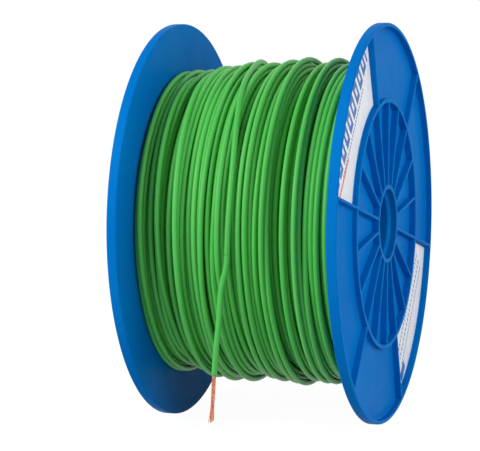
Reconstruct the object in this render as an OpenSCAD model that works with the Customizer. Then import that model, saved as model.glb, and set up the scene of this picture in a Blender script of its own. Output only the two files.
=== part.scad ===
// Wire spool: two identical moulded plastic halves, snapped together back to back,
// with a winding of single-core flexible wire whose free end is stripped.
// The spool's axis lies along +X, and the origin is at the middle of its bore.

/* [Flanges] */
// Outer diameter of both flanges
flange_d = 200; // [190:1:240]
// Clear width between the flanges' inner faces
traverse = 102; // [80:1:130]
// Width of a flange at its rim, from inner face to outer edge
rim_w = 5; // [4:0.5:8]
// Radial thickness of the rim's wall
rim_t = 2; // [1.5:0.1:3]
// Thickness of the flange's floor at the barrel
floor_root_t = 2.2; // [1.5:0.1:3]
// Thickness of the flange's floor at the rim
floor_edge_t = 1.6; // [1.2:0.1:2.4]
// Rounding of the rim's outer corners
rim_round = 0.8; // [0.3:0.1:1.2]
// Fillet between the floor and the walls that stand on it
floor_fillet = 0.8; // [0.3:0.1:1.2]

/* [Barrel and hub] */
// Outer diameter of the barrel that carries the wire
barrel_d = 125; // [110:1:135]
// Thickness of the barrel's wall
barrel_t = 2; // [1.5:0.1:3]
// Outer diameter of the hub tube
hub_d = 39; // [37:0.5:50]
// Diameter of the bore that runs right through, for an axle
bore_d = 32; // [24:0.5:33]
// Diameter of the bore's wider mouth
mouth_d = 35; // [34:0.5:35.5]
// Depth of the wider mouth, before its cone
mouth_depth = 3; // [2:0.5:8]
// Thickness of the web that closes a half at mid-width
web_t = 2; // [1.5:0.1:4]

/* [Ribs] */
// Number of ribs that cross the flange to the rim and divide it into panels
panel_n = 6; // [4:2:6]
// Number of ribs between hub and barrel for each panel
ribs_per_panel = 3; // [2:1:4]
// Angle of the first long rib, from +Y towards +Z
rib_phase = 44.5; // [0:0.5:60]
// Thickness of a rib where it is rooted
rib_root_t = 2; // [1.6:0.1:3]
// Thickness of a rib at its open edge
rib_tip_t = 1.4; // [1:0.1:1.6]
// Chamfer along the open edges of the ribs
rib_chamfer = 0.3; // [0.2:0.05:0.4]
// Chamfer along the open edges of the round walls, as a share of the ribs' chamfer
wall_chamfer_share = 0.6; // [0.4:0.05:0.8]

/* [Snap hooks] */
// Distance from the spool's axis to a hook's outer face
hook_at = 40; // [34:1:46]
// Width of a hook
hook_w = 7; // [5:0.5:8]
// Thickness of a hook's tongue
hook_t = 2; // [1.5:0.1:2.5]
// How far a hook's nose reaches over the web that it holds
hook_reach = 1.2; // [0.8:0.1:1.5]
// Height of a hook's nose
hook_nose = 2.6; // [2:0.1:4]
// Clearance round a hook in its window
hook_gap = 0.25; // [0.15:0.05:0.4]

/* [Labels] */
// Thickness of a label
label_t = 0.2; // [0.1:0.05:0.5]
// Bare margin between a label and the ribs and fillets round it
label_margin = 0.3; // [0.2:0.1:3]
// Thickness of the glue under a label
label_gap = 0.05; // [0.02:0.01:0.1]

/* [Wire] */
// Outer diameter of the wire over its insulation
wire_d = 2.8; // [2:0.1:3]
// Depth of the winding, from the barrel out to its outer layer
winding_depth = 17.5; // [8.5:0.5:23.5]
// Turns of the outer layer, from one flange to the other
layer_turns = 21; // [12:1:21]
// Where along the axis the free end leaves the winding
tail_x = -2; // [-20:1:20]
// Clearance between the outer layer and the flanges
side_gap = 0.5; // [0.3:0.1:1]
// Clearance between the loose last turn and the layer that it crosses
cross_gap = 0.5; // [0.45:0.05:1]
// Clearance between the inner layers and the plastic
seat_gap = 0.3; // [0.2:0.05:0.5]

/* [Stripped end] */
// Diameter of one copper strand
strand_d = 0.25; // [0.2:0.01:0.26]
// Length of bare copper
strip_len = 24; // [10:1:30]
// How much the strands spread from the insulation to the tip
strand_flare = 1.5; // [1:0.1:2]
// Twist of the strands over the bare length, in degrees
strand_twist = 25; // [0:5:40]

/* [Hidden] */
$fn = 96;

// Places on a half, with r away from the spool's axis and z along it from mid-width
half_w = traverse / 2;
face_z = half_w + rim_w;
rim_r = flange_d / 2;
well_r = rim_r - rim_t;
barrel_r = barrel_d / 2;
cell_r = barrel_r - barrel_t;
hub_r = hub_d / 2;
bore_r = bore_d / 2;
mouth_r = mouth_d / 2;
cone_z = face_z - mouth_depth - (mouth_r - bore_r);
wall_chamfer = wall_chamfer_share * rib_chamfer;
floor_slope = atan((floor_root_t - floor_edge_t) / (well_r - barrel_r));

// Ribs: each is sunk this far into the walls that it joins
rib_n = panel_n * ribs_per_panel;
rib_step = 360 / rib_n;
panel_step = 360 / panel_n;
rib_bite = 0.8;

// Hooks stand in every second panel and windows in the others, so that a half
// turned over about flip_angle hooks into its twin
hook_phase = rib_phase - rib_step * (floor(ribs_per_panel / 2) + 0.5);
flip_angle = hook_phase + panel_step / 2;
hook_land = 0.6;

// The outer layer: turns of so many rings, each ring with so many sides
turn_rings = 24;
wound_sides = 6;
ring_step = 360 / turn_rings;
climb_turns = 0.5;
back_turns = 2;
turns = layer_turns + climb_turns + back_turns;
wire_r = wire_d / 2;
winding_r = barrel_r + winding_depth;
layer_r = winding_r - wire_r;
loose_r = layer_r + wire_d + cross_gap;
end_x = half_w - wire_r - side_gap;
core_r = (layer_r - wire_r) * cos(ring_step / 2) - 0.1;
end_angle = 180;
start_angle = end_angle - 360 * turns;
back_ease = 0.3;
rise_bend = 1.3 * wire_d;
rise_r = layer_r - rise_bend - wire_d;
rise_room = 0.25 * wire_d;

// The free end: its route, from where it leaves the winding, and the strands in it
tail_sides = 8;
tail_route = [
    [0, 0, 0], [-0.2, 0, -3.5], [-0.9, -0.1, -8], [-2.2, -0.4, -13], [-3.4, -0.8, -19], [-4, -1.1, -26],
    [-4.6, -1.3, -33], [-5.6, -1.4, -41], [-6.6, -1.2, -49], [-7.3, -0.9, -55], [-7.8, -0.6, -59.5]
];
strand_rows = [1, 6, 12, 11];
strand_pitch = 0.28;
strand_lift = 0.02;

function floor_z(r) = half_w + floor_root_t - (r - barrel_r) * tan(floor_slope);
function unit(v) = v / norm(v);
function smooth(u) = u * u * (3 - 2 * u);

// Turns everything built on +Z onto the spool's axis, +X
module on_axis() {
    rotate([90, 0, 90]) children();
}

// A flat outline in the plane of r and z, spread by w to both sides of that plane
module radial_slab(w) {
    rotate([90, 0, 0]) linear_extrude(height = w, center = true) children();
}

// Section of a wall that stands on the web or the floor, with chamfered open edges
module wall_section(r0, r1, z0) {
    polygon([
        [r0, z0], [r1, z0], [r1, face_z - wall_chamfer], [r1 - wall_chamfer, face_z],
        [r0 + wall_chamfer, face_z], [r0, face_z - wall_chamfer]
    ]);
}

// Section of the hub tube, with the stepped mouth of its bore
module hub_section() {
    polygon([
        [bore_r, 0], [hub_r, 0], [hub_r, face_z - wall_chamfer], [hub_r - wall_chamfer, face_z],
        [mouth_r + wall_chamfer, face_z], [mouth_r, face_z - wall_chamfer],
        [mouth_r, face_z - mouth_depth], [bore_r, cone_z]
    ]);
}

// Section of the rim, rounded at its two outer corners
module rim_section() {
    round_r = rim_r - rim_round;
    polygon([
        [well_r, half_w], [round_r, half_w], [round_r, face_z],
        [well_r + wall_chamfer, face_z], [well_r, face_z - wall_chamfer]
    ]);
    translate([round_r, half_w + rim_round]) square([rim_round, rim_w - 2 * rim_round]);
    for (z = [half_w + rim_round, face_z - rim_round]) {
        translate([round_r, z]) circle(r = rim_round);
    }
}

// Fillet in the corner between a wall along +z and a floor along the unit vector across
module corner_fillet(corner, across) {
    up = [0, 1];
    half_angle = acos(across * up) / 2;
    reach = floor_fillet / tan(half_angle);
    centre = corner + unit(up + across) * floor_fillet / sin(half_angle);
    difference() {
        polygon([corner, corner + up * reach, centre, corner + across * reach]);
        translate(centre) circle(r = floor_fillet);
    }
}

// Section of everything on a half that is round
module half_section() {
    across = [cos(floor_slope), -sin(floor_slope)];
    hub_section();
    wall_section(cell_r, barrel_r, 0);
    rim_section();
    translate([hub_r - rib_bite, 0]) square([cell_r - hub_r + 2 * rib_bite, web_t]);
    polygon([
        [cell_r + rib_bite, half_w], [well_r + rib_bite, half_w],
        [well_r + rib_bite, floor_z(well_r)], [well_r, floor_z(well_r)],
        [barrel_r, floor_z(barrel_r)], [cell_r + rib_bite, floor_z(barrel_r)]
    ]);
    corner_fillet([barrel_r, floor_z(barrel_r)], across);
    corner_fillet([well_r, floor_z(well_r)], -across);
}

// One rib from r0 to r1, thinner towards its open edge
module rib(r0, r1, z0) {
    translate([r0, 0, 0]) rotate([90, 0, 90]) linear_extrude(height = r1 - r0) polygon([
        [-rib_root_t / 2, z0], [rib_root_t / 2, z0],
        [rib_tip_t / 2, face_z - rib_chamfer], [rib_tip_t / 2 - rib_chamfer, face_z],
        [rib_chamfer - rib_tip_t / 2, face_z], [-rib_tip_t / 2, face_z - rib_chamfer]
    ]);
}

// All ribs of a half: short ones stop at the barrel, and each panel's first runs on
module ribs() {
    for (i = [0 : rib_n - 1]) rotate(rib_phase + i * rib_step) {
        rib(hub_r - rib_bite, cell_r + rib_bite, web_t / 2);
        if (i % ribs_per_panel == 0) rib(barrel_r - rib_bite, well_r + rib_bite, half_w + floor_edge_t / 2);
    }
}

// A snap hook that passes through the other half's web and catches behind it
module hook() {
    catch_z = -web_t - hook_gap;
    radial_slab(hook_w) polygon([
        [hook_at - hook_t, web_t / 2], [hook_at, web_t / 2], [hook_at, catch_z],
        [hook_at + hook_reach, catch_z], [hook_at + hook_reach, catch_z - hook_land],
        [hook_at - hook_t / 2, catch_z - hook_nose], [hook_at - hook_t, catch_z - hook_nose]
    ]);
}

// The window for a hook, with room inside it for the tongue to bend
module window() {
    inner = hook_at - hook_t - hook_reach - hook_gap;
    radial_slab(hook_w + 2 * hook_gap) translate([inner, -web_t])
        square([hook_at + hook_gap - inner, 3 * web_t]);
}

// One moulded half: flange, barrel, hub tube, web, ribs, hooks and windows
module spool_half() {
    difference() {
        union() {
            rotate_extrude() half_section();
            ribs();
        }
        for (i = [1 : 2 : panel_n - 1]) rotate(hook_phase + i * panel_step) window();
    }
    for (i = [0 : 2 : panel_n - 2]) rotate(hook_phase + i * panel_step) hook();
}

module spool_half_right() {
    color("#0f7ccb") on_axis() spool_half();
}

module spool_half_left() {
    color("#0d6fba") on_axis()
        rotate(180, [cos(flip_angle), sin(flip_angle), 0]) spool_half();
}

// A label that fills the panel after the long rib at the given angle
module label(angle) {
    r0 = barrel_r + floor_fillet + label_margin;
    r1 = well_r - floor_fillet - label_margin;
    color("#eceef2") on_axis() rotate(angle) difference() {
        rotate_extrude(angle = panel_step) polygon([
            [r0, floor_z(r0) + label_gap], [r1, floor_z(r1) + label_gap],
            [r1, floor_z(r1) + label_gap + label_t], [r0, floor_z(r0) + label_gap + label_t]
        ]);
        for (side = [0, panel_step]) rotate(side) translate([0, 0, face_z])
            cube([3 * rim_r, rib_root_t + 2 * label_margin, 4 * rim_w], center = true);
    }
}

module label_upper() {
    label(rib_phase + panel_step);
}

module label_lower() {
    label(rib_phase + panel_step + 180);
}

// The inner layers, closed as one ring, with a notch where the outer layer rises
module winding_core() {
    core_w = traverse - 2 * seat_gap;
    notch = wire_d + 2 * rise_room;
    color("#2c7a30") on_axis() difference() {
        rotate_extrude() translate([barrel_r + seat_gap, -core_w / 2])
            square([core_r - barrel_r - seat_gap, core_w]);
        rotate(start_angle) translate([rise_r, -notch / 2, -end_x - notch / 2])
            cube([winding_r, notch, notch]);
    }
}

// A point of the wire's centre line, from its place along the axis, radius and angle
function wound(x, r, a) = [x, r * cos(a), r * sin(a)];

// Along the axis: across the layer, up at the far flange, and back to the free end
function turn_x(t) =
    t <= layer_turns ? -end_x + 2 * end_x * t / layer_turns
    : t <= layer_turns + climb_turns ? end_x
    : end_x + (tail_x - end_x) * eased(t - layer_turns - climb_turns);

// Share of the way back after u turns, with a gentle start and a steady end
function eased(u) =
    (u < back_ease ? u * u / (2 * back_ease) : u - back_ease / 2) / (back_turns - back_ease / 2);

// Radius after t turns
function turn_r(t) =
    layer_r + (loose_r - layer_r) * smooth(min(1, max(0, t - layer_turns) / climb_turns));

// The rise out of the layer below: straight for one diameter, then bent into the first turn
rise = [
    for (b = [-1 : 4]) let (
        along = b < 1 ? 0 : rise_bend * (1 - cos(b * 22.5)),
        out = layer_r - rise_bend + (b < 0 ? -wire_d : rise_bend * sin(b * 22.5))
    ) [-end_x, out * cos(start_angle) - along * sin(start_angle),
       out * sin(start_angle) + along * cos(start_angle)]
];

// The free end leaves along the last turn, which slants by so much for each mm of wire
back_slope = (tail_x - end_x) / (back_turns - back_ease / 2) / (2 * PI * loose_r);
exit_way = unit([back_slope, -sin(end_angle), cos(end_angle)]);
last_ring = wound(tail_x, loose_r, end_angle);
tail_exit = last_ring + wire_d * exit_way;

outer_path = concat(
    rise,
    [for (i = [1 : turns * turn_rings]) let (t = i / turn_rings)
        wound(turn_x(t), turn_r(t), start_angle + i * ring_step)],
    [tail_exit]
);
tail_path = [for (p = tail_route) tail_exit + p];

// Direction of a path at one of its points
function heading(path, i) = unit(path[min(i + 1, len(path) - 1)] - path[max(i - 1, 0)]);

// Least distance between the surfaces of a round wire's turns, measured on its points
function least_gap(path, d, apart) = min([
    for (i = [0 : len(path) - apart - 1], j = [i + apart : len(path) - 1]) norm(path[i] - path[j])
]) - d;

// A round wire swept along a path that never runs along X
module wire(path, r, sides) {
    last = len(path) - 1;
    points = [
        for (i = [0 : last]) let (
            way = heading(path, i),
            side = unit([1, 0, 0] - way[0] * way),
            rise_way = cross(way, side)
        ) for (k = [0 : sides - 1]) let (a = 360 * (k + 0.5) / sides)
            path[i] + r * (cos(a) * side + sin(a) * rise_way)
    ];
    skin = [
        for (i = [0 : last - 1], k = [0 : sides - 1]) let (
            a = i * sides + k,
            b = i * sides + (k + 1) % sides
        ) each [[a, a + sides, b], [b, a + sides, b + sides]]
    ];
    caps = [
        for (k = [1 : sides - 2]) each [[0, k, k + 1],
            [last * sides, last * sides + k + 1, last * sides + k]]
    ];
    polyhedron(points = points, faces = concat(skin, caps));
}

module winding_outer() {
    echo(least_gap_mm = least_gap(outer_path, wire_d, turn_rings / 2));
    color("#4cb050") wire(outer_path, wire_r, wound_sides);
}

module wire_tail() {
    color("#4cb050") wire(tail_path, wire_r, tail_sides);
}

// Bare strands in rows round the middle one, spread and twisted towards the tip
module copper_strands() {
    tip = tail_path[len(tail_path) - 1];
    way = heading(tail_path, len(tail_path) - 1);
    color("#d98a62") translate(tip) rotate([0, acos(way[2]), atan2(way[1], way[0])])
        for (row = [0 : len(strand_rows) - 1], k = [0 : strand_rows[row] - 1]) {
            a = 360 * k / strand_rows[row] + 15 * row;
            root = row * strand_pitch;
            foot = [root * cos(a), root * sin(a), strand_lift];
            head = [root * strand_flare * cos(a + strand_twist),
                    root * strand_flare * sin(a + strand_twist), strip_len];
            line = head - foot;
            translate(foot) rotate([0, acos(line[2] / norm(line)), atan2(line[1], line[0])])
                cylinder(h = norm(line), d = strand_d, $fn = 16);
        }
}

spool_half_right();
spool_half_left();
label_upper();
label_lower();
winding_core();
winding_outer();
wire_tail();
copper_strands();
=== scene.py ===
"""The looks of a wire spool: two moulded plastic halves, their labels and the wire wound on them.

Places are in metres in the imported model's frame. The spool's axis lies along X, the middle of its
bore is the origin, and the wire's free end hangs at the front, towards -Y. An angle round the
spool runs from +Y towards +Z, so the front is at 180 degrees.
"""

import math
import random

import bpy
import numpy as np
from mathutils import Matrix, Vector


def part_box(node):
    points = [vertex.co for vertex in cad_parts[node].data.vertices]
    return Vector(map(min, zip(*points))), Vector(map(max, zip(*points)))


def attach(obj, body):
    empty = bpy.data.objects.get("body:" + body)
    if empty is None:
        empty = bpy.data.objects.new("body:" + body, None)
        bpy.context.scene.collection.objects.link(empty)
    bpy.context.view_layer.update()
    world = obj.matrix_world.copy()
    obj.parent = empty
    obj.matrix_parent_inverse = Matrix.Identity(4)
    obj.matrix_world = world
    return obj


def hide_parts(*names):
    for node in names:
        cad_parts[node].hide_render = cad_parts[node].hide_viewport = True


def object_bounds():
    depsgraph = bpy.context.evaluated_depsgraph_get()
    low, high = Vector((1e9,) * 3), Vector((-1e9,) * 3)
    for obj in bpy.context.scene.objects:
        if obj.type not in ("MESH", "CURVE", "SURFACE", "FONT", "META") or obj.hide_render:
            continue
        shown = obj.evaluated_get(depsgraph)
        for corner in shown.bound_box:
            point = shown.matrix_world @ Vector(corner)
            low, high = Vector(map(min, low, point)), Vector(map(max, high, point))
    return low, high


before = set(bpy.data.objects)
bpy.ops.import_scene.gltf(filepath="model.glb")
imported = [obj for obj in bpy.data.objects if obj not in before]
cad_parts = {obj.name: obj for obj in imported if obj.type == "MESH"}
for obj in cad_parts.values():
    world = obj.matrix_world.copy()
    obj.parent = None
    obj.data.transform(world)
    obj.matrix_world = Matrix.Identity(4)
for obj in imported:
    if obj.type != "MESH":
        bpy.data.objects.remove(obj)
cad_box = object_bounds()

MM = 0.001

# The photograph's width in pixels, and the width of the camera's sensor in mm
IMAGE_W = 480
SENSOR_W = 36.0

# The camera: where it stands, how it is turned in degrees, its focal length in pixels, and the
# nearest that it sees
CAMERA_AT = Vector((0.2996, -0.9924, 0.1554))
CAMERA_YAW = -17.953
CAMERA_PITCH = 8.617
CAMERA_ROLL = -1.388
FOCAL_PX = 2064.3
NEAREST = 0.01

# The wire, and the sides of its tube
WIRE_R = 1.4 * MM
WIRE_D = 2 * WIRE_R
WIRE_SIDES = 10

# The copper strands: how thick they are, how many lie in each row from the middle outwards, and how
# far the rows are apart, then the sides and parts of a strand's tube and the seed of the random draws
STRAND_R = 0.125 * MM
STRAND_ROWS = (1, 6, 12, 11)
STRAND_PITCH = 0.27 * MM
STRAND_SIDES = 6
STRAND_PARTS = 18
STRAND_SEED = 4

# Where they start: a little inside the insulation, each row turned by so many radians against the one
# within it, and each strand by up to so many of its own
STRAND_ROOT = 0.4 * MM
ROW_TURN = 0.26
OWN_TURN = 0.1

# How they run on: all twist together and each curls a little on its own, both in radians, and none
# is cut shorter than this share of the bare length
TWIST = 2.6
CURL = 0.5
SHORTEST = 0.93

# The bundle bulges a little on its first stretch and flares on its last, each strand by its own
# share, and each wanders sideways, in a wave of so many radians that is shifted from strand to strand
BULGE = 0.12
BULGE_ENDS = 0.625
FLARE = 3.2
FLARE_STARTS = 0.55
FLARE_SHARES = (0.55, 1.5)
WANDER = 0.12 * MM
WANDER_TURN = 5
WANDER_SHIFT = 3

# Where the free end leaves the winding, and what gives its direction there, as in the part's source:
# its place along the axis, the last turns' radius, how many turns run back from the flange, over
# what share of a turn they ease in, and where they start
TAIL_X = -2 * MM
LOOSE_R = 81.9 * MM
BACK_TURNS = 2
BACK_EASE = 0.3
END_X = 49.1 * MM

# The free end's route from there in mm, as in the part's source, its bare length, and the parts of
# its line from one point to the next
TAIL_ROUTE = [
    (0, 0, 0), (-0.2, 0, -3.5), (-0.9, -0.1, -8), (-2.2, -0.4, -13), (-3.4, -0.8, -19), (-4, -1.1, -26),
    (-4.6, -1.3, -33), (-5.6, -1.4, -41), (-6.6, -1.2, -49), (-7.3, -0.9, -55), (-7.8, -0.6, -59.5),
]
BARE_LENGTH = 24 * MM
TAIL_PARTS = 3

# The stage: the floor's half width and colour, how much of it the camera sees as plain white and how
# bright that is, the sky's light, and the soft boxes: name, place, width, height and power
FLOOR_HALF = 6.0
FLOOR_COLOUR = (0.6, 0.6, 0.61, 1)
FLOOR_GLOW = 0.8
FLOOR_WHITE = 1.2
SKY_LIGHT = 0.36
LIGHTS = [
    ("key", (-1.1, -1.25, 1.0), 1.1, 1.1, 28),
    ("side", (1.6, -0.3, 0.5), 1.1, 1.1, 14),
]

# The discs that close the cells between hub tube and barrel: how far each lies below a half's
# face, how thick it is, and from which radius to which it reaches, a little into both walls
CELL_DEPTH = 3.4 * MM
DISC_T = 1.6 * MM
DISC_FROM_R = 19 * MM
DISC_TO_R = 61 * MM

# The layers below: where the wire's centre would lie on them, and how they fall off at the left flange
GROUND_R = 73.9 * MM
SHOULDER_DROP = 6.1 * MM
SHOULDER_WIDTH = 18 * MM

# The ring that shows them: where it starts, just outside the barrel, the ridges across it, one for
# each turn, and the parts of a ridge
RING_FROM_R = 62.8 * MM
RING_TURNS = 36
RIDGE_PARTS = 8

# The parts of whatever is turned round the axis
ROUND_PARTS = 96

# The laid wire: its samples in a turn, how far it goes to both sides, the turns of its two layers, how
# far each strays and over how many turns, how wide the calm stretch at the right flange is, and the
# seed of the random draws
STEPS = 72
EDGE_X = 49.5 * MM
INNER_TURNS = 35
OUTER_TURNS = 33
INNER_STRAY = 1.4 * MM
OUTER_STRAY = 3.4 * MM
STRAY_TURNS = 0.7
CALM_WIDTH = 16 * MM
WINDING_SEED = 13

# How the wire lies down: how far it slips into low places, out of how many that it tries, how closely
# turns press together sideways, and over how many samples its stiffness evens it and its pull lifts it
SLIP = 1.4 * MM
SLIP_TRIES = 11
CLOSE = 0.91 * WIRE_D
FOLLOW = 8
SPAN = 7

# What a slip costs against the height that it saves: times its square, and times the square of its
# change since the sample before
SLIP_COST = 100
CHANGE_COST = 5000

# Over how many samples the led places and the laid heights are evened
EVEN_PLACES = 8
EVEN_HEIGHTS = 3

# The last stretch of turn, over which the laid wire rises to where the free end leaves it
RISE_TURNS = 0.25

# So that no joint shows, the wound wire's tube runs on a little round the free end's start, which is
# narrowed to this share of the wire's thickness
OVER_TAIL = 1 * MM
NARROWED = 0.9

# The last turns, laid loosely over the others: turns before the exit, and place along the axis in mm
LOOSE_TURNS = [
    (-5, -49.2), (-4, -46.5), (-3, -43), (-2.25, -39), (-2, -37), (-1.25, -30), (-1, -26),
    (-0.75, -28.5), (-0.5, -20), (-0.25, -12), (-0.19, -7), (-0.156, -4), (-0.123, -2),
    (-0.098, -0.5), (-0.075, 0.2), (-0.037, -0.5), (0, -2),
]

# The labels' sectors, in degrees: where the first starts, how wide each is, and how far apart they lie
SECTOR_FROM = 104.5
SECTOR_WIDTH = 60.0
SECTOR_PITCH = 180.0

# The print in mm, each bar from and to so far across the sector, and from and to so far outwards:
# the upper label's blocks, the holes in them, which lie so far across from each block's edge, its
# ticks and its red line, then the lower label's mark and how far all its rows reach across
BLOCKS = ((-40, 40), (78, 90))
BLOCK_HOLES = ((2.2, 4.4), (81.5, 86.5))
TICKS = ((-24, 30), (74.6, 76.4))
RED_LINE = ((18, 46), (73.6, 75.2))
MARK = ((-36, -26), (84, 90))
ROWS_ACROSS = (-30, 34)

# Blocks, ticks and rows are dashed: their pitch in mm, and how much of it is inked. A row also has
# its place outwards, before its pitch.
BLOCK_PITCH = 9.0
BLOCK_SHARE = 0.74
TICK_PITCH = 2.2
TICK_SHARE = 0.6
ROWS = [((70, 72.4), 2.6), ((76, 78.4), 3.1), ((82, 84), 2.1)]
ROW_SHARE = 0.62

# How a place along the wire, in metres, is stretched against its place round it, from -1 to 1
ALONG_SCALE = 9.0

# The colours in a screen's 0 to 255 values, in pairs where a surface drifts between two
PLASTIC_BLUES = ((2, 113, 197), (4, 121, 203))
# The paler blue at the edges: partly painted wear, partly the painted highlight that rounded edges catch
WEAR_AND_HIGHLIGHT_BLUE = (24, 156, 218)
WIRE_GREENS = ((72, 186, 74), (95, 200, 96))
COPPERS = ((224, 138, 108), (255, 190, 158))
PAPER_WHITES = ((232, 234, 240), (243, 244, 248))
BLUE_INK = (30, 100, 170)
GREY_INK = (120, 150, 185)
RED_INK = (228, 84, 70)


# ---------------------------------------------------------------- camera

def make_camera():
    """The camera at the photographed angle."""
    yaw, pitch, roll = (math.radians(a) for a in (CAMERA_YAW, CAMERA_PITCH, CAMERA_ROLL))
    ahead = Vector((math.sin(yaw) * math.cos(pitch), math.cos(yaw) * math.cos(pitch), -math.sin(pitch)))
    right = Vector((math.cos(yaw), -math.sin(yaw), 0))
    up = right.cross(ahead)
    rolled_right = math.cos(roll) * right + math.sin(roll) * up
    rolled_up = math.cos(roll) * up - math.sin(roll) * right
    data = bpy.data.cameras.new("camera")
    data.sensor_width = SENSOR_W
    data.lens = FOCAL_PX * SENSOR_W / IMAGE_W
    data.clip_start = NEAREST
    camera = bpy.data.objects.new("camera", data)
    turn = Matrix((rolled_right, rolled_up, -ahead)).transposed()
    camera.matrix_world = Matrix.Translation(CAMERA_AT) @ turn.to_4x4()
    bpy.context.scene.collection.objects.link(camera)
    bpy.context.scene.camera = camera


# ---------------------------------------------------------------- meshes

def new_piece(name, points, faces, smooth=True):
    """A mesh object that rides on the part's one body. A smooth one keeps its tubes' end caps flat."""
    mesh = bpy.data.meshes.new(name)
    mesh.from_pydata([tuple(p) for p in points], [], faces)
    mesh.update()
    if smooth:
        mesh.shade_smooth()
        for face in mesh.polygons:
            face.use_smooth = len(face.vertices) <= 4
    piece = bpy.data.objects.new(name, mesh)
    bpy.context.scene.collection.objects.link(piece)
    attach(piece, "root")
    return piece


def headings(path):
    """Unit vectors along a path at each of its points."""
    ahead = np.vstack([path[1:], path[-1:]])
    behind = np.vstack([path[:1], path[:-1]])
    way = ahead - behind
    return way / np.linalg.norm(way, axis=1)[:, None]


def tube(path, radii, sides, first=0):
    """Points, counted from first on, and faces of a closed tube along a path that never runs along X.

    The faces look inwards.
    """
    path = np.asarray(path, float)
    radii = np.broadcast_to(radii, len(path))
    way = headings(path)
    side = np.array([1.0, 0, 0]) - way[:, :1] * way
    side /= np.linalg.norm(side, axis=1)[:, None]
    rise = np.cross(way, side)
    turn = 2 * np.pi * (np.arange(sides) + 0.5) / sides
    ring = np.cos(turn)[None, :, None] * side[:, None] + np.sin(turn)[None, :, None] * rise[:, None]
    points = (path[:, None] + radii[:, None, None] * ring).reshape(-1, 3)
    faces = []
    for i in range(len(path) - 1):
        for k in range(sides):
            a = first + i * sides + k
            b = first + i * sides + (k + 1) % sides
            faces.append((a, a + sides, b + sides, b))
    last = first + (len(path) - 1) * sides
    faces.append(tuple(first + k for k in range(sides)))
    faces.append(tuple(last + k for k in reversed(range(sides))))
    return points, faces


def store_wire_coordinates(piece, path, exit_at):
    """Keeps each point's place for its material: along the wire, in metres past the exit, and round it."""
    steps = np.linalg.norm(np.diff(path, axis=0), axis=1)
    along = np.concatenate([[0], np.cumsum(steps)])
    turn = 2 * np.pi * np.arange(WIRE_SIDES) / WIRE_SIDES
    values = {
        "along": np.repeat(along - along[exit_at], WIRE_SIDES),
        "around_x": np.tile(np.cos(turn), len(path)),
        "around_y": np.tile(np.sin(turn), len(path)),
    }
    for name, value in values.items():
        kept = piece.data.attributes.new(name, "FLOAT", "POINT")
        kept.data.foreach_set("value", value.astype(np.float32))


def wound(x, r, angle):
    """A point on the winding from its place along the axis, radius and angle."""
    return np.array([x, r * math.cos(angle), r * math.sin(angle)])


def turned(profile):
    """Points and faces of a closed ring: a profile of places along the axis and radii, turned round it.

    The faces look outwards where the profile runs clockwise, with +X to its right and radii upwards.
    """
    count = len(profile)
    points = []
    for i in range(ROUND_PARTS):
        points += [wound(x, r, 2 * math.pi * i / ROUND_PARTS) for x, r in profile]
    faces = []
    for i in range(ROUND_PARTS):
        here = i * count
        on = (i + 1) % ROUND_PARTS * count
        for k in range(count):
            after = (k + 1) % count
            faces.append((here + k, on + k, on + after, here + after))
    return points, faces


def smooth_path(points, parts):
    """A Catmull-Rom line through the points, with so many parts for each stretch."""
    points = [np.asarray(p, float) for p in points]
    ends = [2 * points[0] - points[1], *points, 2 * points[-1] - points[-2]]
    line = []
    for a, b, c, d in zip(ends, ends[1:], ends[2:], ends[3:]):
        for k in range(parts):
            t = k / parts
            line.append(0.5 * (2 * b + (c - a) * t + (2 * a - 5 * b + 4 * c - d) * t * t
                               + (3 * b - a - 3 * c + d) * t ** 3))
    return np.array(line + [points[-1]])


# ---------------------------------------------------------------- free end

def tail_exit():
    """Where the free end leaves the winding, and its direction there."""
    slope = (TAIL_X - END_X) / (BACK_TURNS - BACK_EASE / 2) / (2 * math.pi * LOOSE_R)
    way = np.array([slope, 0, -1])
    way /= np.linalg.norm(way)
    return wound(TAIL_X, LOOSE_R, math.pi) + WIRE_D * way, way


def make_strands(root, way):
    """The bare copper strands: each curves gently and they spread towards their cut ends."""
    draw = random.Random(STRAND_SEED)
    way = way / np.linalg.norm(way)
    side = np.cross(way, [0, 1, 0])
    side /= np.linalg.norm(side)
    front = np.cross(side, way)
    points, faces = [], []
    for row, count in enumerate(STRAND_ROWS):
        for k in range(count):
            angle = 2 * math.pi * k / count + ROW_TURN * row + draw.uniform(-OWN_TURN, OWN_TURN)
            flare = FLARE * draw.uniform(*FLARE_SHARES)
            curl = draw.uniform(-CURL, CURL)
            length = BARE_LENGTH * draw.uniform(SHORTEST, 1)
            path = []
            for i in range(STRAND_PARTS + 1):
                t = i / STRAND_PARTS
                bulge = BULGE * math.sin(math.pi * min(1, t / BULGE_ENDS))
                r = row * STRAND_PITCH * (1 + bulge + flare * max(0, t - FLARE_STARTS) ** 2)
                a = angle + TWIST * t + curl * t * t
                wander = WANDER * t * math.sin(WANDER_TURN * t + WANDER_SHIFT * angle)
                path.append(root + way * (length * t - STRAND_ROOT)
                            + side * (r * math.cos(a) + wander) + front * (r * math.sin(a)))
            strand_points, strand_faces = tube(path, STRAND_R, STRAND_SIDES, first=sum(map(len, points)))
            points.append(strand_points)
            faces += strand_faces
    return new_piece("bare_strands", np.vstack(points), faces)


def make_free_end():
    """The insulated free end and its bare strands."""
    start, _ = tail_exit()
    path = smooth_path([start + MM * np.array(p) for p in TAIL_ROUTE], TAIL_PARTS)
    radii = np.full(len(path), WIRE_R)
    radii[0] *= NARROWED
    points, faces = tube(path, radii, WIRE_SIDES)
    tail = new_piece("free_end", points, faces)
    store_wire_coordinates(tail, path, 0)
    strands = make_strands(path[-1], path[-1] - path[-3])
    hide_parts("wire_tail")
    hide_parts("copper_strands")
    return tail, strands


# ---------------------------------------------------------------- winding

def eased(share):
    """A share from 0 to 1 that starts and ends gently."""
    return share * share * (3 - 2 * share)


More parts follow.
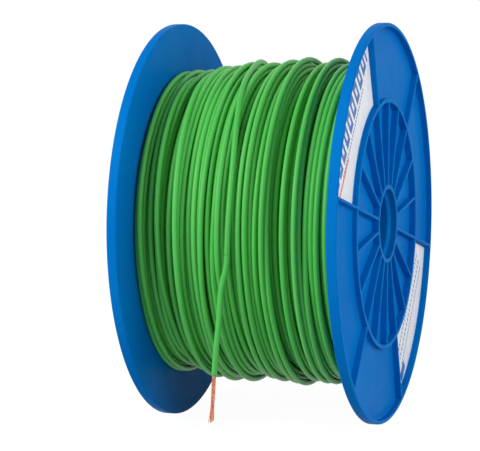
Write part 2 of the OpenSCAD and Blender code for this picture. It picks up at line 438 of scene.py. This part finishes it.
def bell(reach):
    """Weights for the samples up to so many away, which fall off to both sides and add up to 1."""
    weights = np.exp(-0.5 * (np.arange(-reach, reach + 1) * 2 / reach) ** 2)
    return weights / weights.sum()


def smooth_noise(draw, count, knot):
    """Smooth values from -1 to 1, one for each sample, with a random value at each knot."""
    values = np.array([draw.uniform(-1, 1) for _ in range(int(count / knot) + 3)])
    place = np.arange(count) / knot
    index = place.astype(int)
    share = eased(place - index)
    return values[index] * (1 - share) + values[index + 1] * share


def ground(x):
    """Radius at which the wire's centre lies on the layers below: lower at the left flange."""
    left = math.exp(-((x + EDGE_X) / SHOULDER_WIDTH) ** 2)
    return GROUND_R - SHOULDER_DROP * left


def evened(values, reach):
    """Each value averaged with its neighbours up to so many samples away; both ends keep their slope."""
    return np.convolve(np.pad(values, reach, "reflect", reflect_type="odd"), bell(reach), "valid")


def wanted_places():
    """Where along the axis the wire is led: an inner layer, a less even one on it, and the loose turns."""
    draw = random.Random(WINDING_SEED)
    inner = INNER_TURNS * STEPS
    outer = OUTER_TURNS * STEPS
    led = np.concatenate([np.linspace(-EDGE_X, EDGE_X, inner), np.linspace(EDGE_X, -EDGE_X, outer)])
    stray = np.concatenate([np.full(inner, INNER_STRAY), np.full(outer, OUTER_STRAY)])
    stray *= np.clip((EDGE_X - led) / CALM_WIDTH, 0, 1)
    led = np.clip(led + stray * smooth_noise(draw, len(led), STEPS * STRAY_TURNS), -EDGE_X, EDGE_X)
    turns, places = zip(*LOOSE_TURNS)
    loose = np.interp(np.arange(turns[0] * STEPS, 1) / STEPS, turns, np.array(places) * MM)
    return evened(np.concatenate([led, loose]), EVEN_PLACES)


def lay_wire(led, first_sample):
    """Drops the wire on the layers below, sample by sample, and returns its places and radii.

    At each sample the wire picks a nearby place that lies low. Its stiffness then evens out its
    course, and its pull lifts it off hollows shorter than it can follow. Samples are counted round
    the spool from +Y on, and the wire starts at first_sample.
    """
    count = len(led)
    laid = [[] for _ in range(STEPS)]

    def height(sample, place):
        """Radius at which the wire lies at a place, on the ground or on the turns laid there so far."""
        top = ground(place)
        for other_x, other_r in laid[sample % STEPS]:
            gap = abs(place - other_x)
            if gap < CLOSE:
                top = max(top, other_r + WIRE_D * math.sqrt(1 - (gap / CLOSE) ** 2))
        return top

    step = 2 * math.pi / STEPS
    sines = [math.sin(step * i) for i in range(2 * SPAN + 1)]
    weights = bell(FOLLOW)
    tries = np.linspace(-SLIP, SLIP, SLIP_TRIES)
    picked, x, rest, r = (np.zeros(count) for _ in range(4))
    slipped = 0.0
    for k in range(count + FOLLOW + SPAN):
        if k < count:
            places = np.clip(led[k] + tries, -EDGE_X, EDGE_X)
            costs = [height(first_sample + k, p) + SLIP_COST * t * t + CHANGE_COST * (t - slipped) ** 2
                     for p, t in zip(places, tries)]
            best = int(np.argmin(costs))
            slipped = tries[best]
            picked[k] = places[best]
        j = k - FOLLOW
        if 0 <= j < count:
            near = np.clip(np.arange(j - FOLLOW, j + FOLLOW + 1), 0, count - 1)
            x[j] = weights @ picked[near]
            rest[j] = height(first_sample + j, x[j])
        j -= SPAN
        if 0 <= j < count:
            top = rest[j]
            for back in range(1, SPAN + 1):
                before = rest[max(0, j - back)]
                for on in range(1, SPAN + 1):
                    after = rest[min(count - 1, j + on)]
                    bridge = before * after * sines[back + on] / (before * sines[back] + after * sines[on])
                    top = max(top, bridge)
            r[j] = top
            laid[(first_sample + j) % STEPS].append((x[j], r[j]))
    return x, evened(r, EVEN_HEIGHTS)


def make_winding():
    """The wound wire: one tube from the inner layer to the free end, which leaves it at the front."""
    led = wanted_places()
    last = len(led) - 1
    front_sample = STEPS // 2
    first_sample = (front_sample - last) % STEPS
    x, r = lay_wire(led, first_sample)
    rise = eased(np.clip((np.arange(len(led)) - last) / (STEPS * RISE_TURNS) + 1, 0, 1))
    x = x + (led - x) * rise
    r = r + (LOOSE_R - r) * rise
    angles = 2 * np.pi * (first_sample + np.arange(len(led))) / STEPS
    path = np.stack([x, r * np.cos(angles), r * np.sin(angles)], axis=1)
    start, way = tail_exit()
    path = np.vstack([path, start, start + OVER_TAIL * way])
    points, faces = tube(path, WIRE_R, WIRE_SIDES)
    winding = new_piece("wound_wire", points, faces)
    store_wire_coordinates(winding, path, len(path) - 2)
    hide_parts("winding_outer")
    return winding


def make_inner_turns():
    """The layers below as one ring, ridged like the turns at its outside and its two sides."""
    side_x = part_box("winding_core")[1].x
    height = GROUND_R - WIRE_R - RING_FROM_R
    side_parts = round(height / WIRE_D) * RIDGE_PARTS
    top_parts = RING_TURNS * RIDGE_PARTS

    def dip(k):
        """How far the ring's surface lies below the ridges' tops at one of their parts."""
        return WIRE_R * (1 - abs(math.sin(math.pi * k / RIDGE_PARTS)))

    left = [(dip(k) - side_x, RING_FROM_R + height * k / side_parts) for k in range(side_parts + 1)]
    top = []
    for k in range(top_parts + 1):
        x = side_x * (2 * k / top_parts - 1)
        top.append((x, ground(x) - WIRE_R - dip(k)))
    right = [(-x, r) for x, r in reversed(left)]
    ring = new_piece("inner_turns", *turned(left + top + right))
    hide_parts("winding_core")
    return ring


# ---------------------------------------------------------------- spool

def make_cell_disc(name, side):
    """The disc that closes a half's cells, with side 1 for the right half and -1 for the left one."""
    near_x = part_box("spool_half_right")[1].x - CELL_DEPTH
    far_x = near_x - DISC_T
    profile = [(near_x, DISC_FROM_R), (near_x, DISC_TO_R), (far_x, DISC_TO_R), (far_x, DISC_FROM_R)]
    # The left disc takes the profile backwards, so that the faces of both look the same way, inwards
    profile = [(side * x, r) for x, r in profile[::side]]
    disc = new_piece(name, *turned(profile), smooth=False)
    return disc


# ---------------------------------------------------------------- materials

def srgb(colour):
    """A colour in a screen's 0 to 255 values, as the shader takes it."""
    values = []
    for v in colour:
        c = v / 255
        values.append(c / 12.92 if c <= 0.04045 else ((c + 0.055) / 1.055) ** 2.4)
    return (*values, 1.0)


class Shader:
    """A new material with its main shader, and short ways to add nodes to it.

    A value is a number, a colour or another node's output. A socket's name has _ for its spaces.
    """

    def __init__(self, name, **inputs):
        self.material = bpy.data.materials.new(name)
        self.material.use_nodes = True
        self.tree = self.material.node_tree
        self.main = self.tree.nodes["Principled BSDF"]
        self.place = self.add("ShaderNodeTexCoord").outputs["Object"]
        self.set(**inputs)

    def feed(self, value, socket):
        """Gives a socket its value."""
        if isinstance(value, bpy.types.NodeSocket):
            self.tree.links.new(value, socket)
        else:
            socket.default_value = value

    def add(self, kind, settings=(), **inputs):
        """A new node with its settings and inputs."""
        node = self.tree.nodes.new(kind)
        for key, value in dict(settings).items():
            setattr(node, key, value)
        for key, value in inputs.items():
            self.feed(value, node.inputs[key.replace("_", " ")])
        return node

    def set(self, **inputs):
        """Gives the main shader its inputs."""
        for key, value in inputs.items():
            self.feed(value, self.main.inputs[key.replace("_", " ")])

    def math(self, operation, *values):
        """One operation's result."""
        node = self.add("ShaderNodeMath", {"operation": operation})
        for socket, value in zip(node.inputs, values):
            self.feed(value, socket)
        return node.outputs[0]

    def noise(self, scale, detail, vector=None):
        """A noise over the object, or over another vector, whose larger scale makes finer grains."""
        node = self.add("ShaderNodeTexNoise", Scale=scale, Detail=detail, Vector=vector or self.place)
        return node.outputs["Fac"]

    def spread(self, value, low, high, first=0.3, last=0.7):
        """Maps the values from first to last, or else a noise's usual ones, to those from low to high."""
        node = self.add("ShaderNodeMapRange", Value=value, From_Min=first, From_Max=last,
                        To_Min=low, To_Max=high)
        return node.outputs[0]

    def mix(self, share, a, b):
        """Colour a, with a share of colour b. A mix node's colour sockets have no names of their own."""
        node = self.add("ShaderNodeMix", {"data_type": "RGBA"})
        self.feed(share, node.inputs[0])
        self.feed(a, node.inputs[6])
        self.feed(b, node.inputs[7])
        return node.outputs[2]

    def bump(self, height, distance, strength, normal=None):
        """The normal over a relief that is so many metres high, on another relief's normal if given."""
        node = self.add("ShaderNodeBump", Height=height, Distance=distance, Strength=strength)
        if normal:
            self.feed(normal, node.inputs["Normal"])
        return node.outputs[0]


def plastic():
    """Satin blue moulded plastic: slight waves and grain, and paler edges that are partly painted wear and
    partly a painted highlight.
    """
    s = Shader("spool_blue_plastic", Specular_IOR_Level=0.006)
    edge = s.add("ShaderNodeBevel", {"samples": 4}, Radius=0.3 * MM)
    facing = s.add("ShaderNodeNewGeometry").outputs["Normal"]
    bend = s.add("ShaderNodeVectorMath", {"operation": "DOT_PRODUCT"})
    s.feed(edge.outputs[0], bend.inputs[0])
    s.feed(facing, bend.inputs[1])
    # Every edge turns paler, in patches: painted wear together with a painted highlight along the edge
    edge_wear_and_highlight = s.spread(bend.outputs["Value"], 0, 0.6, first=1, last=0.8)
    cloud = s.spread(s.noise(18, 3), 0, 1)
    base = s.mix(cloud, *map(srgb, PLASTIC_BLUES))
    patchy_wear_and_highlight = s.math("MULTIPLY", edge_wear_and_highlight, s.spread(s.noise(140, 4), 0.3, 1))
    s.set(Base_Color=s.mix(patchy_wear_and_highlight, base, srgb(WEAR_AND_HIGHLIGHT_BLUE)))
    s.set(Roughness=s.spread(s.noise(55, 4), 0.34, 0.46))
    waves = s.bump(s.noise(24, 1), 0.25 * MM, 0.35, edge.outputs[0])
    s.set(Normal=s.bump(s.noise(1900, 2), 0.02 * MM, 0.35, waves))
    return s.material


def insulation():
    """Green PVC: shade drifts along the wire, with faint lines from drawing and a fine grain."""
    s = Shader("green_insulation", Specular_IOR_Level=0.2)
    along, around_x, around_y = (s.add("ShaderNodeAttribute", {"attribute_name": name}).outputs["Fac"]
                                 for name in ("along", "around_x", "around_y"))
    stretched = s.math("MULTIPLY", along, ALONG_SCALE)
    lengthwise = s.add("ShaderNodeCombineXYZ", X=stretched, Y=around_x, Z=around_y)
    drift = s.spread(s.noise(0.6, 3, lengthwise.outputs[0]), 0, 1)
    s.set(Base_Color=s.mix(drift, *map(srgb, WIRE_GREENS)))
    s.set(Roughness=s.spread(s.noise(500, 3), 0.34, 0.46))
    lines = s.bump(s.noise(5, 3, lengthwise.outputs[0]), 0.05 * MM, 0.5)
    s.set(Normal=s.bump(s.noise(2600, 2), 0.015 * MM, 0.4, lines))
    return s.material


def copper():
    """Bright drawn copper, a little darker in places."""
    s = Shader("bright_copper", Metallic=1.0)
    tarnish = s.spread(s.noise(900, 3), 0, 1)
    s.set(Base_Color=s.mix(tarnish, *map(srgb, COPPERS)))
    s.set(Roughness=s.spread(s.noise(1500, 2), 0.25, 0.45))
    return s.material


def label_print(s):
    """Shares of dark blue, grey and red ink: generic blocks, rows of ticks and lines.

    Each label lies across its own sector. On it, v runs outwards from the axis and u across the
    sector, both in mm, so that the print runs straight like on a printed sheet.
    """
    parts = s.add("ShaderNodeSeparateXYZ", Vector=s.place)
    y, z = (s.math("DIVIDE", parts.outputs[axis], MM) for axis in ("Y", "Z"))
    radius = s.math("SQRT", s.math("ADD", s.math("MULTIPLY", y, y), s.math("MULTIPLY", z, z)))
    angle = s.math("DEGREES", s.math("ARCTAN2", z, y))
    in_sector = s.math("FLOORED_MODULO", s.math("SUBTRACT", angle, SECTOR_FROM), SECTOR_PITCH)
    from_middle = s.math("RADIANS", s.math("SUBTRACT", in_sector, SECTOR_WIDTH / 2))
    u = s.math("MULTIPLY", radius, s.math("SINE", from_middle))
    v = s.math("MULTIPLY", radius, s.math("COSINE", from_middle))
    upper = s.math("GREATER_THAN", z, 0.0)
    lower = s.math("SUBTRACT", 1.0, upper)

    def between(value, low, high):
        return s.math("MULTIPLY", s.math("GREATER_THAN", value, low), s.math("LESS_THAN", value, high))

    def area(place, across, outwards):
        return s.math("MULTIPLY", between(place, *across), between(v, *outwards))

    def bar(label, across, outwards):
        return s.math("MULTIPLY", label, area(u, across, outwards))

    def dashed(whole, pitch, share):
        inked = s.math("LESS_THAN", s.math("FLOORED_MODULO", u, pitch), pitch * share)
        return s.math("MULTIPLY", whole, inked)

    blocks = dashed(bar(upper, *BLOCKS), BLOCK_PITCH, BLOCK_SHARE)
    holes = area(s.math("FLOORED_MODULO", u, BLOCK_PITCH), *BLOCK_HOLES)
    blocks = s.math("MULTIPLY", blocks, s.math("SUBTRACT", 1.0, holes))
    blue = s.math("MAXIMUM", blocks, bar(lower, *MARK))
    grey = dashed(bar(upper, *TICKS), TICK_PITCH, TICK_SHARE)
    for outwards, pitch in ROWS:
        row = dashed(bar(lower, ROWS_ACROSS, outwards), pitch, ROW_SHARE)
        grey = s.math("MAXIMUM", grey, row)
    return blue, grey, bar(upper, *RED_LINE)


def label_paper():
    """White label stock with a faint fibre, and generic print."""
    s = Shader("label_paper", Specular_IOR_Level=0.4)
    blue, grey, red = label_print(s)
    inked = s.mix(s.spread(s.noise(260, 4), 0, 1), *map(srgb, PAPER_WHITES))
    for share, ink in ((grey, GREY_INK), (blue, BLUE_INK), (red, RED_INK)):
        inked = s.mix(share, inked, srgb(ink))
    s.set(Base_Color=inked)
    s.set(Roughness=s.spread(s.noise(90, 2), 0.38, 0.5))
    slack = s.bump(s.noise(45, 2), 0.3 * MM, 0.25)
    s.set(Normal=s.bump(s.noise(1500, 3), 0.01 * MM, 0.5, slack))
    return s.material


def dress(piece, material):
    """Gives a piece one material."""
    piece.data.materials.clear()
    piece.data.materials.append(material)


# ---------------------------------------------------------------- stage

def seen_share(tree):
    """1 on the rays that show a surface to the camera, straight, in a reflection or through glass."""
    rays = tree.nodes.new("ShaderNodeLightPath")
    share = rays.outputs["Is Camera Ray"]
    for kind in ("Is Glossy Ray", "Is Transmission Ray"):
        larger = tree.nodes.new("ShaderNodeMath")
        larger.operation = "MAXIMUM"
        tree.links.new(share, larger.inputs[0])
        tree.links.new(rays.outputs[kind], larger.inputs[1])
        share = larger.outputs[0]
    return share


def make_floor():
    """A plain pale floor that the rims stand on. The camera sees it as white, with a faint shadow."""
    corners = [(-1, -1), (1, -1), (1, 1), (-1, 1)]
    points = [(FLOOR_HALF * x, FLOOR_HALF * y, cad_box[0].z) for x, y in corners]
    mesh = bpy.data.meshes.new("floor")
    mesh.from_pydata(points, [], [(0, 1, 2, 3)])
    floor = bpy.data.objects.new("floor", mesh)
    bpy.context.scene.collection.objects.link(floor)
    material = bpy.data.materials.new("floor")
    material.use_nodes = True
    tree = material.node_tree
    tree.nodes.clear()
    out = tree.nodes.new("ShaderNodeOutputMaterial")
    mix = tree.nodes.new("ShaderNodeMixShader")
    plain = tree.nodes.new("ShaderNodeBsdfDiffuse")
    glow = tree.nodes.new("ShaderNodeEmission")
    glow.inputs["Strength"].default_value = FLOOR_WHITE
    seen = tree.nodes.new("ShaderNodeMath")
    seen.operation = "MULTIPLY"
    seen.inputs[1].default_value = FLOOR_GLOW
    plain.inputs["Color"].default_value = FLOOR_COLOUR
    tree.links.new(seen_share(tree), seen.inputs[0])
    tree.links.new(seen.outputs[0], mix.inputs["Fac"])
    tree.links.new(plain.outputs[0], mix.inputs[1])
    tree.links.new(glow.outputs[0], mix.inputs[2])
    tree.links.new(mix.outputs[0], out.inputs["Surface"])
    dress(floor, material)


def make_world():
    """A soft grey sky that is white where the camera sees it, also in a reflection."""
    world = bpy.data.worlds.new("studio")
    bpy.context.scene.world = world
    world.use_nodes = True
    tree = world.node_tree
    sky = tree.nodes["Background"]
    strength = tree.nodes.new("ShaderNodeMapRange")
    strength.inputs["To Min"].default_value = SKY_LIGHT
    strength.inputs["To Max"].default_value = 1.0
    tree.links.new(seen_share(tree), strength.inputs["Value"])
    tree.links.new(strength.outputs[0], sky.inputs["Strength"])
    sky.inputs["Color"].default_value = (1, 1, 1, 1)


def soft_box(name, place, width, height, power):
    """An area light turned to the spool."""
    light = bpy.data.lights.new(name, "AREA")
    light.shape = "RECTANGLE"
    light.size = width
    light.size_y = height
    light.energy = power
    lamp = bpy.data.objects.new(name, light)
    lamp.location = place
    lamp.rotation_euler = (-Vector(place)).to_track_quat("-Z", "Y").to_euler()
    bpy.context.scene.collection.objects.link(lamp)


# ---------------------------------------------------------------- the scene

make_camera()
tail, strands = make_free_end()
winding = make_winding()
inner = make_inner_turns()

green = insulation()
for piece in (tail, winding, inner):
    dress(piece, green)
dress(strands, copper())
blue = plastic()
for node, side in (("spool_half_right", 1), ("spool_half_left", -1)):
    dress(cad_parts[node], blue)
    dress(make_cell_disc(node.replace("spool", "cell_disc"), side), blue)
paper = label_paper()
for node in ("label_upper", "label_lower"):
    dress(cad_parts[node], paper)

make_floor()
make_world()
for name, place, width, height, power in LIGHTS:
    soft_box(name, place, width, height, power)
bpy.context.scene.view_settings.view_transform = "Standard"
